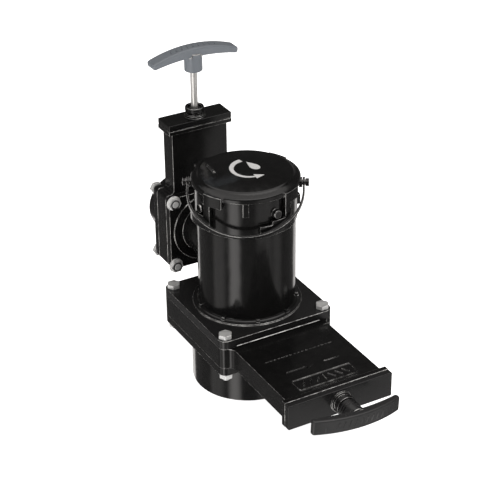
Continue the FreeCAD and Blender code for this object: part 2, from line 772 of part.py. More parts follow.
# ---------------------------------------------------------------- bayonet cap
def cap_hook(bearing):
    """Tab on the rim, web down its side and an arm with a sloping top that passes under a prong."""
    turn = length(bearing)
    tab = sector(cap.arm_in, cap.tab, cap.tab_low, cap.shoulder - 1.2, turn, cap.tab_angle)
    web = sector(cap.arm_in, cap.tab, cap.arm_low, cap.tab_low + 1, turn, cap.web_angle)
    arm = sector(cap.arm_in, cap.tab, cap.arm_low, cap.arm_high - cap.ramp_drop, turn - cap.arm_angle,
                 cap.arm_angle + cap.web_angle)
    ramp = sector(cap.arm_in, cap.tab, cap.arm_high - cap.ramp_drop - 0.5, cap.arm_high,
                  turn - cap.arm_angle * 0.55, cap.arm_angle * 0.55 + 2)
    return [tab, web, arm, ramp]


def strap_peg(side):
    """Ear on the rim with the headed peg that the strap swings on."""
    bearing = math.radians(strap.bearing.value)
    out = FreeCAD.Vector(math.cos(bearing), math.sin(bearing), 0) * side
    turn = FreeCAD.Rotation(Z_AXIS, out)
    pieces = []
    steps = (
        (strap.ear, cap.arm_in, strap.ear_face),
        (strap.peg, strap.ear_face, strap.head_in),
        (strap.head, strap.head_in, strap.head_out),
    )
    for radius, low, high in steps:
        piece = doc.addObject("Part::Cylinder", "Peg")
        bind(piece, "Radius", radius)
        bind(piece, "Height", high - low)
        pieces.append(move(piece, low * out.x, low * out.y, strap.height, turn))
    return pieces


def bayonet_cap():
    disc = new_body("cap_disc")
    roof = tube_top + cap.seal_gap + cap.seal_thick
    skirt_in = collar_r + cap.skirt_gap
    turned(disc, [
        (0, roof), (skirt_in, roof), (skirt_in, cap.rim_low), (cap.rim, cap.rim_low),
        (cap.rim, cap.shoulder - cap.lip * 1.2), (cap.rim - cap.lip * 2, cap.shoulder),
        (cap.crown + 1.5, cap.shoulder + 0.3), (cap.crown, cap.edge - 1.2), (cap.crown - 1.6, cap.edge),
        (cap.crown * 0.5, cap.top - 0.5), (0, cap.top),
    ])
    solids = [disc]
    for index in range(4):
        solids += cap_hook(cap.bearing + 90 * index)
    for side in (-1, 1):
        solids += strap_peg(side)
    mark = doc.addObject("Part::Box", "MouldRib")
    bind(mark, "Length", cap.rib_long)
    bind(mark, "Width", cap.rib_wide)
    bind(mark, "Height", cap.top + cap.rib_over - roof - 1)
    turn = FreeCAD.Rotation(Z_AXIS, cap.rib_bearing.value)
    solids.append(move(mark, cap.rib_x, cap.rib_y, roof + 1, turn))
    return keep(fuse(solids), "bayonet_cap")


def cap_gasket():
    body = new_body("cap_gasket")
    low = tube_top + cap.seal_gap
    high = low + cap.seal_thick
    inner, outer = tube_bore - 0.6, collar_r - 0.4
    turned(body, [(inner, low), (outer, low), (outer, high), (inner, high)])
    return keep(body, "cap_gasket")


def cap_strap():
    """U shaped band with an eye at each end; its own frame has the pivots on X, the bow towards +Y."""
    low, high = -strap.wide / 2, strap.wide / 2
    walls = []
    for radius, start in ((strap.half + strap.thick / 2, 0), (strap.half - strap.thick / 2, -1)):
        arch = doc.addObject("Part::Cylinder", "Arch")
        bind(arch, "Radius", radius)
        bind(arch, "Height", strap.wide)
        arch.Angle = 180
        move(arch, 0, strap.leg, low)
        walls.append(fuse([arch, block((-radius, radius), (start, strap.leg), (low, high))]))
    band = cut(walls[0], walls[1:])
    near, far = strap.half - strap.thick / 2, strap.half + strap.thick / 2
    eyes = [round_bar("x", strap.eye, near, far), round_bar("x", strap.eye, -far, -near)]
    holes = [round_bar("x", strap.peg + strap.fit, -far - 1, far + 1)]
    turn = FreeCAD.Rotation(Z_AXIS, strap.bearing.value) * FreeCAD.Rotation(X_AXIS, 180 + strap.droop.value)
    return keep(cut(fuse([band] + eyes), holes), "cap_strap", z=strap.height, turn=turn)


# ---------------------------------------------------------------- the assembly
slip_hub("lower_hub", hub_r, main_pipe + slip, socket_deep, hub_high, tube_bore)
hub_flange(large, "lower_flange", hub_high, tube_bore)
gate_valve(large, "large")
tee_flange()
tee_tube()
bayonet_collar()
tee_branch()
gate_valve(small, "small")
rear_place = {"y": rear_hub_end, "z": branch_z, "turn": FreeCAD.Rotation(X_AXIS, 90)}
slip_hub("rear_hub", rear_hub_r, branch_pipe + slip, rear_socket, rear_long, small.bore, **rear_place)
hub_flange(small, "rear_flange", rear_long, small.bore, **rear_place)
bayonet_cap()
cap_gasket()
cap_strap()

doc.recompute()
for item in doc.Objects:
    if "Invalid" in item.State or "Error" in item.State:
        raise ValueError(f"{item.Name} ({item.Label}) is {item.State}")
for node in nodes:
    if node.Shape.isNull() or not node.Shape.isValid() or not node.Shape.Solids:
        raise ValueError(f"{node.Label} has no valid solid")
for node in nodes:
    node.Shape.exportStep(f"parts/{node.Label}.step")
    print(node.Label, len(node.Shape.Solids), round(node.Shape.Volume / 1000, 2))
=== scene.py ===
# %% [markdown]
# # A twin drain gate valve
# The object is a black moulded drain fitting: an upright tee with a bayonet cap stands on a large
# gate valve, and a smaller gate valve sits on its side branch. The solid parts come from a packed
# mechanical model. Blender adds the finishes, the small moulded details, the light and the camera.

# %% Load the frame
import json
import math

import bmesh
import bpy
from mathutils import Matrix, Vector


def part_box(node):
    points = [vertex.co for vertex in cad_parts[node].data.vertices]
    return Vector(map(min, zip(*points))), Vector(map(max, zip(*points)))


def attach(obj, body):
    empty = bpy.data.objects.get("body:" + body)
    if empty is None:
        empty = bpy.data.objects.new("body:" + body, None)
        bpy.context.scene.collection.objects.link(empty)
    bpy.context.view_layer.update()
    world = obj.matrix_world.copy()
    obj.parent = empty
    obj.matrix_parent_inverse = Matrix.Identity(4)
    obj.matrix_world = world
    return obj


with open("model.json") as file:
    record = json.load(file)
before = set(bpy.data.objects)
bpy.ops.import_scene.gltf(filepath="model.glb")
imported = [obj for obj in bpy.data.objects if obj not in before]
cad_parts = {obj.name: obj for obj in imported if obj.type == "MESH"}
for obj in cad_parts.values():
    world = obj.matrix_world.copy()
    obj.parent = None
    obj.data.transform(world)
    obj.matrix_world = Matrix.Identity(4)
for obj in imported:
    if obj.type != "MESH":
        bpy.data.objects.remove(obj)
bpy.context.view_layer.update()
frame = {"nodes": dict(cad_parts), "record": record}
nodes = frame["nodes"]
MM = 0.001
print(len(nodes), "parts loaded")

# %% [markdown]
# ## Shader arithmetic
# A finish is a small calculation that runs at every point of a surface. Joining nodes by hand
# hides that, so one class wraps a socket and lets ordinary Python expressions add Math nodes.


# %% A socket that can be used in arithmetic
class Value:
    """One output socket of a material; arithmetic on it adds Math nodes."""

    def __init__(self, finish, socket):
        self.finish = finish
        self.socket = socket

    def math(self, operation, first, second):
        return self.finish.node("ShaderNodeMath", {"operation": operation}, {0: first, 1: second})

    def __add__(self, other):
        return self.math("ADD", self, other)

    def __sub__(self, other):
        return self.math("SUBTRACT", self, other)

    def __mul__(self, other):
        return self.math("MULTIPLY", self, other)

    def __rsub__(self, other):
        return self.math("SUBTRACT", other, self)

    __radd__ = __add__
    __rmul__ = __mul__


class Finish:
    """A material under construction: adds nodes, links values and ends in one shader."""

    def __init__(self, name):
        self.material = bpy.data.materials.new(name)
        self.material.use_nodes = True
        self.tree = self.material.node_tree
        self.shader = self.tree.nodes["Principled BSDF"]
        self.place = self.node("ShaderNodeTexCoord", {}, {}, "Object")

    def node(self, kind, settings, values, output=0):
        """Any node: its settings first, then the numbers or links of its inputs."""
        made = self.tree.nodes.new(kind)
        for name, setting in settings.items():
            if name == "stops":
                self.set_ramp(made.color_ramp, setting)
            else:
                setattr(made, name, setting)
        for name, value in values.items():
            self.feed(made.inputs[name], value)
        return Value(self, made.outputs[output])

    def set_ramp(self, ramp, stops):
        while len(ramp.elements) < len(stops):
            ramp.elements.new(0.5)
        for element, (position, tone) in zip(ramp.elements, stops):
            element.position = position
            element.color = (tone, tone, tone, 1)

    def feed(self, socket, value):
        if isinstance(value, Value):
            self.tree.links.new(value.socket, socket)
        else:
            socket.default_value = value

    def noise(self, scale, detail=3, roughness=0.5, stretch=(1, 1, 1)):
        """Soft mottling; scale counts its spots per metre."""
        where = self.node("ShaderNodeMapping", {}, {"Vector": self.place, "Scale": stretch})
        settings = {"noise_dimensions": "3D"}
        values = {"Vector": where, "Scale": scale, "Detail": detail, "Roughness": roughness}
        return self.node("ShaderNodeTexNoise", settings, values)

    def mask(self, value, low, high):
        """0 below low, 1 above high, smooth between."""
        settings = {"stops": ((0.0, 0.0), (1.0, 1.0))}
        limits = {"Value": value, "From Min": low, "From Max": high}
        spread = self.node("ShaderNodeMapRange", {}, limits)
        return self.node("ShaderNodeValToRGB", settings, {"Fac": spread})

    def blend(self, factor, first, second):
        """A colour between two colours."""
        ends = {0: factor, 6: first, 7: second}
        return self.node("ShaderNodeMix", {"data_type": "RGBA"}, ends, 2)

    def bump(self, height, strength, distance, below=None):
        values = {"Height": height, "Strength": strength, "Distance": distance}
        if below is not None:
            values["Normal"] = below
        return self.node("ShaderNodeBump", {}, values)

    def set(self, **values):
        """Feed the shader's own sockets; underscores stand for spaces."""
        for name, value in values.items():
            self.feed(self.shader.inputs[name.replace("_", " ")], value)
        return self.material


# %% [markdown]
# ## Black moulded plastic
# The whole casing is black ABS. Straight from the mould it is glossy but never a mirror: the
# surface swells and sinks a little over a centimetre, and it carries fine rub marks and a trace of
# pale dust. One function makes every grade: the polished tube, the slightly duller valve bodies,
# the lid and flange that show more grey, and the handle, worn by hands.


# %% Black plastics
def black_plastic(name, tone, gloss, wave, dust):
    finish = Finish(name)
    swell = finish.noise(38, 2, 0.4)
    haze = finish.noise(130, 3, 0.5)
    scuffs = finish.mask(finish.noise(420, 3, 0.6, (1, 1, 0.14)), 0.6, 0.78)
    specks = finish.mask(finish.noise(1100, 2, 0.6), 0.72, 0.8)
    black, pale_dust = (tone, tone, tone * 1.03, 1), (0.09, 0.088, 0.082, 1)
    colour = finish.blend(haze * 0.06 + specks * dust, black, pale_dust)
    rough = haze * 0.09 + scuffs * 0.05 + specks * 0.06 + (gloss - 0.045)
    surface = finish.bump(swell, 0.25, wave)
    surface = finish.bump(haze, 0.1, 0.00016, surface)
    return finish.set(Base_Color=colour, Roughness=rough, Normal=surface, IOR=1.5)


gloss_black = black_plastic("gloss_black_abs", 0.0045, 0.15, 0.0016, 0.2)
satin_black = black_plastic("satin_black_abs", 0.004, 0.19, 0.0011, 0.03)
lid_black = black_plastic("lid_black_abs", 0.014, 0.21, 0.0011, 0.05)
worn_black = black_plastic("worn_black_abs", 0.026, 0.25, 0.0006, 0.12)
print("black plastics ready")

# %% [markdown]
# ## Painted edge highlights
# Every outer edge of the casing carries a painted highlight. A pale, patchy colour on its rounded
# faces stands in for the flash of the lamps, and it draws each flange and seam as a thin pale
# line.
# The Bevel modifier that rounds the edges can give its new faces a material of their own, which is
# exact where a noise mask would only guess.


# %% Painted edge highlight
def painted_edge_highlight(name, dark, light, shine):
    finish = Finish(name)
    # Pale patches on the edge faces make up the painted highlight.
    highlight_patches = finish.mask(finish.noise(140, 3, 0.6), 0.36, 0.6)
    fine = finish.noise(900, 2, 0.6)
    deep, bright = (dark, dark, dark, 1), (light, light, light * 0.98, 1)
    colour = finish.blend(highlight_patches * 0.8 + fine * 0.2, deep, bright)
    return finish.set(Base_Color=colour, Roughness=fine * 0.12 + 0.2, Metallic=shine)


# Edge colours lighter than their parts: painted highlights for the black, grey and zinc parts.
black_edge_highlight = painted_edge_highlight("black_edge_painted_highlight", 0.1, 0.72, 1.0)
grey_edge_highlight = painted_edge_highlight("grey_edge_painted_highlight", 0.36, 0.7, 0.25)
zinc_edge_highlight = painted_edge_highlight("zinc_edge_painted_highlight", 0.8, 1.0, 0.4)
print("edges rubbed")

# %% [markdown]
# ## The other finishes
# The small handle is slate grey plastic. The rods are ground steel with fine rings round them, the
# bolts are zinc plated and a little mottled, and the seals are dull rubber.


# %% Grey plastic, rubber and the gates
def dull_plastic(name, dark, light, gloss, grain):
    finish = Finish(name)
    haze = finish.noise(120, 4, 0.6)
    fine = finish.noise(grain, 3, 0.6)
    scuffs = finish.mask(finish.noise(500, 3, 0.6, (1, 1, 0.3)), 0.6, 0.75)
    colour = finish.blend(haze * 0.7 + scuffs * 0.3, (*dark, 1), (*light, 1))
    rough = haze * 0.14 + scuffs * 0.1 + (gloss - 0.08)
    grain_bump = finish.bump(fine, 0.2, 0.0001)
    return finish.set(Base_Color=colour, Roughness=rough, Normal=grain_bump, IOR=1.5)


SLATE = (0.175, 0.194, 0.217), (0.23, 0.25, 0.276)
SMOKE = (0.012, 0.012, 0.013), (0.028, 0.028, 0.03)
SOOT = (0.008, 0.008, 0.008), (0.018, 0.018, 0.018)
slate_grey = dull_plastic("slate_grey_abs", *SLATE, 0.34, 1800)
gate_plastic = dull_plastic("gate_abs", *SMOKE, 0.42, 2200)
rubber = dull_plastic("seal_rubber", *SOOT, 0.62, 3000)


# %% Metals
def metal(name, dark, light, shine, gloss, scale, stretch, depth):
    finish = Finish(name)
    lines = finish.noise(scale, 3, 0.6, stretch)
    patches = finish.noise(260, 4, 0.65)
    colour = finish.blend(patches, (*dark, 1), (*light, 1))
    rough = patches * 0.12 + lines * 0.06 + (gloss - 0.08)
    surface = finish.bump(lines, 0.15, depth)
    return finish.set(Base_Color=colour, Roughness=rough, Metallic=shine, Normal=surface)


RINGED, EVEN = (0.3, 0.3, 1), (1, 1, 1)
STEEL = (0.9, 0.89, 0.86), (0.94, 0.93, 0.9)
ZINC = (0.68, 0.69, 0.69), (0.98, 0.98, 0.96)
ground_steel = metal("ground_steel", *STEEL, 0.72, 0.3, 300, RINGED, 0.0000002)
zinc_plate = metal("zinc_plate", *ZINC, 0.42, 0.2, 500, EVEN, 0.000008)
print("metals ready")

# %% [markdown]
# ## Dress the mechanical parts
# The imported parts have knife-sharp edges, and real mouldings never do: an edge of half a
# millimetre catches a thin line of light. A Bevel modifier rounds each clear edge without touching
# the stored mesh. The Weld before it joins the facets, and the Decimate melts the flat ones
# together, so that the bevel finds only the true edges. The cap's dome keeps its soft bends.

# %% Finish and edge radius of each part, in millimetres
FINISHES = {
    "gloss_black_abs": gloss_black,
    "satin_black_abs": satin_black,
    "gate_abs": gate_plastic,
    "grey_handle_abs": slate_grey,
    "rod_steel": ground_steel,
    "zinc_steel": zinc_plate,
    "seal_rubber": rubber,
}
EDGE = {
    "gloss_black_abs": 0.4,
    "satin_black_abs": 0.5,
    "grey_handle_abs": 0.7,
    "zinc_steel": 0.45,
}
# Second material of each slot: the painted edge highlight for its bevel faces.
EDGE_HIGHLIGHTS = {
    "gloss_black_abs": black_edge_highlight,
    "satin_black_abs": black_edge_highlight,
    "grey_handle_abs": grey_edge_highlight,
    "zinc_steel": zinc_edge_highlight,
}
OWN_EDGE = {
    "cap_strap": 0.25,
    "small_end_cap": 0.32,
    "large_end_cap": 0.4,
    "bayonet_cap": 0.4,
}
OWN_LIMIT = {"bayonet_cap": 60}
OWN_FINISH = {
    "large_handle": worn_black,
    "large_end_cap": lid_black,
    "tee_flange": lid_black,
}
FACET_GAP, FLAT_ANGLE, EDGE_ANGLE = 2e-6, 0.5, 32
slot_of = {entry["node"]: entry["material_slot"] for entry in frame["record"]["subparts"]}


def dress(name):
    part, slot = nodes[name], slot_of[name]
    part.data.materials.clear()
    part.data.materials.append(OWN_FINISH.get(name, FINISHES[slot]))
    if slot in EDGE_HIGHLIGHTS:
        part.data.materials.append(EDGE_HIGHLIGHTS[slot])
    part.data.polygons.foreach_set("use_smooth", [True] * len(part.data.polygons))
    weld = part.modifiers.new("Weld", "WELD")
    weld.merge_threshold = FACET_GAP
    if slot in EDGE:
        flat = part.modifiers.new("Flat", "DECIMATE")
        flat.decimate_type = "DISSOLVE"
        flat.angle_limit = math.radians(FLAT_ANGLE)
        bevel = part.modifiers.new("Edge", "BEVEL")
        bevel.width = OWN_EDGE.get(name, EDGE[slot]) * MM
        bevel.segments = 2
        bevel.limit_method = "ANGLE"
        bevel.angle_limit = math.radians(OWN_LIMIT.get(name, EDGE_ANGLE))
        bevel.use_clamp_overlap = False
        bevel.harden_normals = True
        # The new bevel faces take the painted edge highlight.
        bevel.material = 1 if slot in EDGE_HIGHLIGHTS else -1
    weighted = part.modifiers.new("Normals", "WEIGHTED_NORMAL")
    weighted.keep_sharp = True


for name in sorted(nodes):
    dress(name)
print("dressed", len(nodes), "parts")

# %% [markdown]
# ## Raised marks
# The mouldings carry shallow raised marks: a frame and a flow arrow on the large gate box, a bead
# along the flange seam, grip bars on both handles and a printed turn arrow on the cap. Each is a
# ribbon with sloping sides that runs along a short path on a surface. One builder makes them all:
# it takes the path, the width at each point and a function that lays flat coordinates on the
# surface. Modelled ribbons have real sloping sides, which a bump would not give at their edges; on
# the gate box marks and the seam bead those sides carry the painted edge highlight.


# %% Ribbon builder
SUNK = 0.15


def ribbon(mesh, path, widths, tall, place, closed=False, slope=0.25, highlighted=1):
    """Add a raised ribbon to a bmesh; place(u, v, h) gives a point of the surface.

    The sides take the material with the number given in the last argument, a painted edge
    highlight when it is 1; the top takes the first one.
    """
    count = len(path)
    rows = []
    for index, (u, v) in enumerate(path):
        before = path[index - 1] if closed or index else path[0]
        after = path[(index + 1) % count] if closed or index < count - 1 else path[-1]
        along = Vector((after[0] - before[0], after[1] - before[1])).normalized()
        across = Vector((-along.y, along.x))
        half = widths[index] / 2
        crest = max(half - slope, half * 0.4)
        profile = ((-half, -SUNK), (-crest, tall), (crest, tall), (half, -SUNK))
        spots = [place(u + across.x * w, v + across.y * w, h) for w, h in profile]
        rows.append([mesh.verts.new(spot) for spot in spots])
    pairs = zip(rows, rows[1:] + rows[:1]) if closed else zip(rows, rows[1:])
    for first, second in pairs:
        for k in range(4):
            n = (k + 1) % 4
            face = mesh.faces.new((first[k], first[n], second[n], second[k]))
            # Side faces take the painted edge highlight unless the number is 0.
            face.material_index = highlighted if k != 1 else 0
    if not closed:
        mesh.faces.new(list(reversed(rows[0])))
        mesh.faces.new(rows[-1])


def finish_piece(mesh, name, body, slot, material, smooth=30):
    """Turn a bmesh into a piece that rides on a body."""
    bmesh.ops.recalc_face_normals(mesh, faces=mesh.faces[:])
    data = bpy.data.meshes.new(name)
    mesh.to_mesh(data)
    mesh.free()
    data.materials.append(material)
    # Second material: the painted edge highlight for the ribbon sides.
    if slot in EDGE_HIGHLIGHTS:
        data.materials.append(EDGE_HIGHLIGHTS[slot])
    data.set_sharp_from_angle(angle=math.radians(smooth))
    data.polygons.foreach_set("use_smooth", [True] * len(data.polygons))
    piece = bpy.data.objects.new(name, data)
    bpy.context.scene.collection.objects.link(piece)
    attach(piece, body)
    return piece


TIP = 0.2


def pill(length, width, ends=4):
    """Path and widths of a bar with rounded ends, along u."""
    path, widths = [], []
    radius = width / 2
    for side in (-1, 1):
        for k in range(ends + 1):
            angle = math.pi / 2 * k / ends
            if side > 0:
                angle = math.pi / 2 - angle
            path.append((side * (length / 2 - radius + radius * math.cos(angle)), 0))
            widths.append(max(width * math.sin(angle), TIP))
    return path, widths


def shifted(path, u, v, turn=0.0):
    c, s = math.cos(math.radians(turn)), math.sin(math.radians(turn))
    return [(u + a * c - b * s, v + a * s + b * c) for a, b in path]


def loop(half_u, half_v, corner, steps=4):
    """Closed path of a rectangle with round corners."""
    path = []
    for index, (sign_u, sign_v) in enumerate(((1, 1), (-1, 1), (-1, -1), (1, -1))):
        for k in range(steps + 1):
            angle = math.radians(90 * index + 90 * k / steps)
            path.append((sign_u * (half_u - corner) + corner * math.cos(angle),
                         sign_v * (half_v - corner) + corner * math.sin(angle)))
    return path


# %% Marks on the large gate box
VALVE_THICK = 20
BOX_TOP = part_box("lower_flange")[1].z / MM + VALVE_THICK
BOX_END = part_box("large_valve_body")[0].y / MM
FRAME_V, FRAME_SLANTS = BOX_END + 20, (1, 1, 1, 0, -1, -1, -1)
marks = bmesh.new()


def on_box(u, v, h):
    return Vector((u, v, BOX_TOP + h)) * MM


def box_bar(u, v, length, width, tall, slope, turn=0.0):
    """One raised bar with round ends on the box."""
    bar, wide = pill(length, width)
    ribbon(marks, shifted(bar, u, v, turn), wide, tall, on_box, slope=slope)


frame_path = shifted(loop(29, 7.5, 1.5), 0, FRAME_V)
ribbon(marks, frame_path, [1.5] * len(frame_path), 0.9, on_box, closed=True, slope=0.6)
for index, slant in enumerate(FRAME_SLANTS):
    box_bar(-21 + 7 * index, FRAME_V, 8.5, 2.0, 0.9, 0.7, 90 - 32 * slant)
box_bar(4, BOX_END + 9.6, 46, 1.3, 0.7, 0.4)
flow_arrow = shifted([(-14, 0), (6, 0), (6.2, 0), (14, 0)], -12, BOX_END + 42)
ribbon(marks, flow_arrow, [2.4, 2.4, 7.5, 0.3], 0.8, on_box, slope=0.6)
box_bar(20, BOX_END + 42, 16, 3.2, 0.8, 0.7)
for index in range(17):
    box_bar(-32 + 4 * index, BOX_END + 64, 2.4 if index % 4 else 3.4, 1.5, 0.6, 0.5)
box_bar(46, BOX_END + 92, 7, 1.2, 0.6, 0.5)
finish_piece(marks, "gate_box_marks", "housing", "satin_black_abs", satin_black)
print("gate box marked")

# %% Bead along the flange seam
flange_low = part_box("tee_flange")[0] / MM
BEAD_LONG, BEAD_WIDE, BEAD_TALL = 86, 1.3, 0.5


def on_seam(u, v, h):
    return Vector((u, flange_low.y - h, flange_low.z + v)) * MM


seam = bmesh.new()
bar, wide = pill(BEAD_LONG, BEAD_WIDE)
ribbon(seam, shifted(bar, 0, BEAD_WIDE / 2), wide, BEAD_TALL, on_seam, slope=0.5)
finish_piece(seam, "flange_seam_bead", "housing", "satin_black_abs", satin_black)
print("seam beaded")

# %% Grip bars on the handles
BAR_HALF, BAR_SAG, HANDLE_TWIST = 43.0, 8.0, math.radians(2.8)
BAR_RADIUS = (BAR_HALF ** 2 + BAR_SAG ** 2) / (2 * BAR_SAG)
large_low, large_high = (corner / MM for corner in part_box("large_handle"))
small_low, small_high = (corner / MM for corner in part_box("small_handle"))
LARGE_AXIS_Z = (large_low.z + large_high.z) / 2
SMALL_AXIS_Y = (small_low.y + small_high.y) / 2


def on_large_bar(u, v, h):
    """u runs along the bar, v across it; h stands off its bowed face."""
    bend = u / BAR_RADIUS
    reach = BAR_RADIUS + h
    x, y = reach * math.sin(bend), large_low.y + BAR_RADIUS - reach * math.cos(bend)
    c, s = math.cos(HANDLE_TWIST), math.sin(HANDLE_TWIST)
    return Vector((x * c + v * s, y, LARGE_AXIS_Z - x * s + v * c)) * MM


def on_small_bar(u, v, h):
    bend = u / BAR_RADIUS
    reach = BAR_RADIUS + h
    z = small_high.z - BAR_RADIUS + reach * math.cos(bend)
    return Vector((reach * math.sin(bend), SMALL_AXIS_Y + v, z)) * MM


GRIP_BARS, GRIP_STEP, GRIP_TURN = 9, 5.5, 72
for name, place, body, slot, material in (
    ("large_handle_grip", on_large_bar, "large_gate_set", "satin_black_abs", worn_black),
    ("small_handle_grip", on_small_bar, "small_gate_set", "grey_handle_abs", slate_grey),
):
    grip = bmesh.new()
    for index in range(GRIP_BARS):
        bar, wide = pill(7.0, 1.8)
        bar = shifted(bar, -22 + GRIP_STEP * index, 0, GRIP_TURN)
        ribbon(grip, bar, wide, 0.6, place, slope=0.6, highlighted=0)
    finish_piece(grip, name, body, slot, material)
print("handles gripped")

# %% [markdown]
# ## Turn arrow on the cap
# The cap carries a silver print. Here it is a curved turn arrow and a drop, the signs for a drain
# that closes with a twist. The print is a fraction of a millimetre thick and follows the crown.

# %% Silver print
CROWN_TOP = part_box("bayonet_cap")[1].z / MM
CROWN_REACH, CROWN_EDGE = 21.35, 41.1
CROWN_DROP, EDGE_DROP = 0.5, 1.5
PRINT_TURN, PRINT_THICK = math.radians(-29.0), 0.12


def on_crown(u, v, h):
    """The crown is two shallow cones: it drops faster past CROWN_REACH."""
    c, s = math.cos(PRINT_TURN), math.sin(PRINT_TURN)
    x, y = u * c - v * s, u * s + v * c
    reach = math.hypot(x, y)
    drop = CROWN_DROP * reach / CROWN_REACH
    if reach > CROWN_REACH:
        drop = CROWN_DROP + EDGE_DROP * (reach - CROWN_REACH) / (CROWN_EDGE - CROWN_REACH)
    return Vector((x, y, CROWN_TOP - drop + h)) * MM


silver = Finish("silver_print")
flakes = silver.noise(3000, 2, 0.6)
worn = silver.mask(silver.noise(420, 4, 0.7), 0.62, 0.72)
silver_tone = silver.blend(flakes, (0.8, 0.8, 0.8, 1), (0.98, 0.98, 0.97, 1))
silver_tone = silver.blend(worn, silver_tone, (0.4, 0.4, 0.4, 1))
silver_print = silver.set(Base_Color=silver_tone, Roughness=flakes * 0.15 + 0.3, Metallic=0.15)

# %% Turn arrow and drop
STEPS, START, SWEEP = 18, 118, 172
path, widths = [], []
for step in range(STEPS + 1):
    along = step / STEPS
    angle = math.radians(START + SWEEP * along)
    path.append((3 + 15.5 * math.cos(angle), 1 + 17 * math.sin(angle)))
    widths.append(5.2 - 3.2 * along)
tail_u, tail_v = path[-1]
path += [(tail_u + 0.1, tail_v + 0.02), (tail_u + 8, tail_v + 3.2)]
widths += [8.0, 0.3]
arrow = bmesh.new()
ribbon(arrow, path, widths, PRINT_THICK, on_crown, slope=0.1, highlighted=0)
drop_path = [(u, 0) for u in (-7.5, -7.2, -6, -3.6, -0.5, 3, 6.5, 10)]
drop_wide = [0.4, 3.2, 6.2, 8.4, 8.6, 6.4, 3.4, 0.3]
drop_path = shifted(drop_path, 7, 5, 128)
ribbon(arrow, drop_path, drop_wide, PRINT_THICK, on_crown, slope=0.1, highlighted=0)
finish_piece(arrow, "cap_turn_arrow", "cap", "zinc_steel", silver_print)
print("turn arrow printed")

# %% [markdown]
# ## Turned rings
# Ring ridges stand on the rod glands, on the hub of the large handle and, as a thread, on the bolt
# tips. The tube's foot has a fillet, and a near-black ring round the thread of each small nut
# paints the shade in its hollow. A closed section swept once round an axis makes each of them.


# %% Ring builder
def ring(mesh, centre, axis, section, turns=40):
    """Sweep a closed section of (radius, height) points round an axis through the centre."""
    axis = Vector(axis).normalized()
    first = axis.orthogonal().normalized()
    second = axis.cross(first)
    rows = []
    for step in range(turns):
        angle = 2 * math.pi * step / turns
        out = first * math.cos(angle) + second * math.sin(angle)
        spots = [(Vector(centre) + out * r + axis * h) * MM for r, h in section]
        rows.append([mesh.verts.new(spot) for spot in spots])
    for row, following in zip(rows, rows[1:] + rows[:1]):
        for k in range(len(section)):
            n = (k + 1) % len(section)
            mesh.faces.new((row[k], row[n], following[n], following[k]))


def ridge(radius, height, wide, tall):
    """Section of a low rounded ridge on a round bar."""
    sunk, shoulder = radius - 0.3, radius + tall * 0.6
    return [
        (sunk, height - wide / 2),
        (shoulder, height - wide * 0.38),
        (radius + tall, height),
        (shoulder, height + wide * 0.38),
        (sunk, height + wide / 2),
    ]


# %% Ridges of the glands and handle hubs
large_lid_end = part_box("large_end_cap")[0].y / MM
small_lid_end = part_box("small_end_cap")[1].z / MM
GLAND, SMALL_GLAND, HUB = 9.0, 8.7, 8.4
LARGE_AXIS, SMALL_AXIS = (0, 0, LARGE_AXIS_Z), (0, SMALL_AXIS_Y, 0)
OUTWARD, UPWARD, ROUNDED = (0, -1, 0), (0, 0, 1), 60


def ridge_piece(name, body, centre, axis, sections):
    """A set of ridges in satin black."""
    mesh = bmesh.new()
    for section in sections:
        ring(mesh, centre, axis, section)
    finish_piece(mesh, name, body, "satin_black_abs", satin_black, ROUNDED)


gland = [ridge(GLAND, -large_lid_end - back, 1.1, 0.45) for back in (1.4, 3.0)]
ridge_piece("large_gland_rings", "housing", LARGE_AXIS, OUTWARD, gland)
hub = [ridge(HUB, -large_high.y + out, 1.3, 0.4) for out in (1.6, 4.4, 7.2)]
ridge_piece("large_hub_rings", "large_gate_set", LARGE_AXIS, OUTWARD, hub)
gland = [ridge(SMALL_GLAND, small_lid_end - down, 1.1, 0.35) for down in (1.4, 3.0)]
ridge_piece("small_gland_rings", "housing", SMALL_AXIS, UPWARD, gland)
print("ridges turned")

# %% Fillet at the tube's foot
TUBE, FILLET, STEP_HIGH, HEAD_HIGH, HIDDEN = 44.45, 2.4, 1.2, 4.2, 0.4
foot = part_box("large_bolts")[1].z / MM - HEAD_HIGH + STEP_HIGH
fillet = [(TUBE - HIDDEN, foot - 0.2), (TUBE + FILLET, foot - 0.2)]
for bearing in (15, 35, 55, 75, 90):
    angle = math.radians(bearing)
    fillet.append((TUBE + FILLET * (1 - math.sin(angle)), foot + FILLET * (1 - math.cos(angle))))
fillet.append((TUBE - HIDDEN, foot + FILLET))
tube_rings = bmesh.new()
ring(tube_rings, (0, 0, 0), UPWARD, fillet, 96)
finish_piece(tube_rings, "tube_foot_fillet", "housing", "gloss_black_abs", gloss_black, ROUNDED)
print("foot filleted")

# %% Threads on the tips of the large bolts
BOLT_OUT, SHANK, THREADS, PITCH = 50.1, 3.175, 3, 0.75
bolt_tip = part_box("large_bolts")[0].z / MM
threads = bmesh.new()
for x in (-BOLT_OUT, BOLT_OUT):
    for y in (-BOLT_OUT, BOLT_OUT):
        for turn in range(THREADS):
            height = bolt_tip + 0.7 + PITCH * turn
            ring(threads, (x, y, height), UPWARD, ridge(SHANK, 0, 0.6, 0.25), 20)
finish_piece(threads, "large_bolt_threads", "housing", "zinc_steel", zinc_plate, ROUNDED)
print("bolts threaded")

# %% Painted shade round the threads of the small nuts
nut_low, nut_high = (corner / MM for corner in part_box("small_nuts"))
NUT_FLANGE, SHADED_RADIUS = 7.0, 3.5
SHADE = (0.02, 0.02, 0.02), (0.12, 0.12, 0.12)
